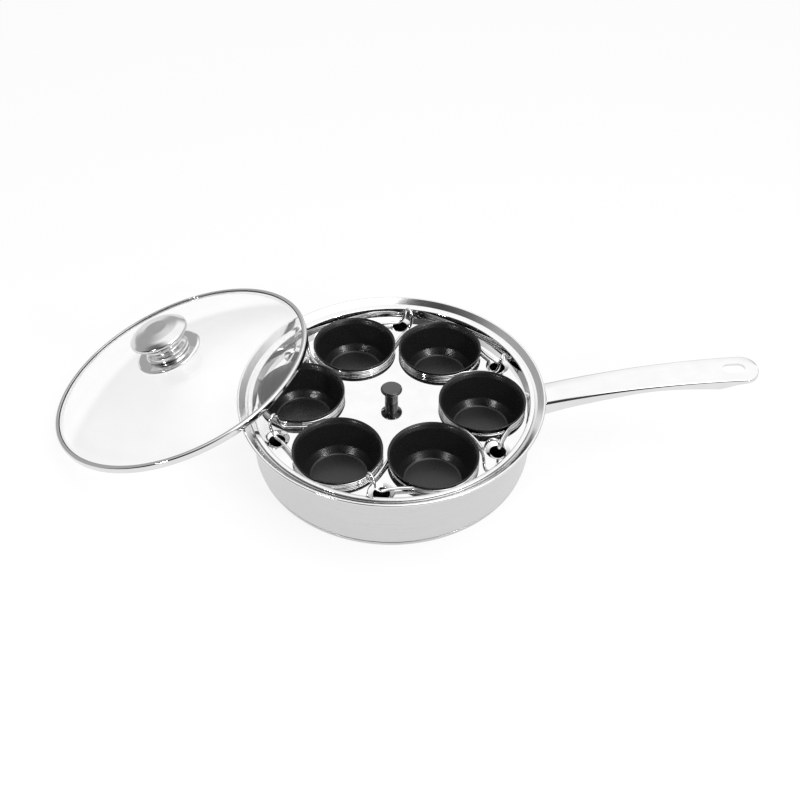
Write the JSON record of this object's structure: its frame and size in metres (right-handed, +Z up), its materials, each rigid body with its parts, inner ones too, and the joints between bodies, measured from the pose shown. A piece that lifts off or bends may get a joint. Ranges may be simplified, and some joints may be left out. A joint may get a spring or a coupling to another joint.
{
  "type": "egg poacher",
  "caption": "Stovetop egg poacher: steel pan with a long handle, lift-out tray of wire-handled non-stick cups, and a knobbed glass lid leaning on the rim",
  "frame": {"origin": "centre of the flat underside of the pan, on the surface it stands on", "axes": "Z up; X along the long handle, away from the pan; Y away from the viewer of the picture"},
  "size_m": [0.6228, 0.3046, 0.095],
  "materials": {
    "satin_steel": "satin stainless steel, brushed round the pan",
    "polished_steel": "mirror-polished stainless steel",
    "polished_wire": "bright drawn stainless wire",
    "core_aluminium": "plain rolled aluminium",
    "nonstick_black": "aluminium under a satin black non-stick coating",
    "black_phenolic": "glossy black moulded phenolic",
    "clear_glass": "clear tempered glass",
    "silicone": "translucent matte silicone"
  },
  "bodies": {
    "pan": {"pan_body": "satin_steel", "base_core": "core_aluminium", "base_cap": "satin_steel", "handle_bracket": "satin_steel", "handle": "polished_steel"},
    "tray": {"tray": "polished_steel", "tray_knob": "black_phenolic", "tray_knob_washer": "satin_steel", "tray_knob_screw": "satin_steel"},
    "cup_1": {"cup_1": "nonstick_black", "cup_wire_1": "polished_wire"},
    "cup_2": {"cup_2": "nonstick_black", "cup_wire_2": "polished_wire"},
    "cup_3": {"cup_3": "nonstick_black", "cup_wire_3": "polished_wire"},
    "cup_4": {"cup_4": "nonstick_black", "cup_wire_4": "polished_wire"},
    "cup_5": {"cup_5": "nonstick_black", "cup_wire_5": "polished_wire"},
    "cup_6": {"cup_6": "nonstick_black", "cup_wire_6": "polished_wire"},
    "lid": {"lid_glass": "clear_glass", "lid_band": "polished_steel", "lid_knob_base": "polished_steel", "lid_knob": "polished_steel", "lid_washer": "silicone", "lid_screw": "satin_steel"}
  },
  "joints": [
    {"name": "tray_lift", "type": "slide", "parent": "pan", "child": "tray", "axis": [0, 0, 1], "range_m": [0, 0.08]},
    {"name": "cup_1_lift", "type": "slide", "parent": "tray", "child": "cup_1", "axis": [0, 0, 1], "range_m": [0, 0.06]},
    {"name": "cup_2_lift", "type": "slide", "parent": "tray", "child": "cup_2", "axis": [0, 0, 1], "range_m": [0, 0.06]},
    {"name": "cup_3_lift", "type": "slide", "parent": "tray", "child": "cup_3", "axis": [0, 0, 1], "range_m": [0, 0.06]},
    {"name": "cup_4_lift", "type": "slide", "parent": "tray", "child": "cup_4", "axis": [0, 0, 1], "range_m": [0, 0.06]},
    {"name": "cup_5_lift", "type": "slide", "parent": "tray", "child": "cup_5", "axis": [0, 0, 1], "range_m": [0, 0.06]},
    {"name": "cup_6_lift", "type": "slide", "parent": "tray", "child": "cup_6", "axis": [0, 0, 1], "range_m": [0, 0.06]},
    {"name": "lid_lift", "type": "slide", "parent": "cup_4", "child": "lid", "axis": [0, 0, 1], "range_m": [0, 0.15]}
  ]
}
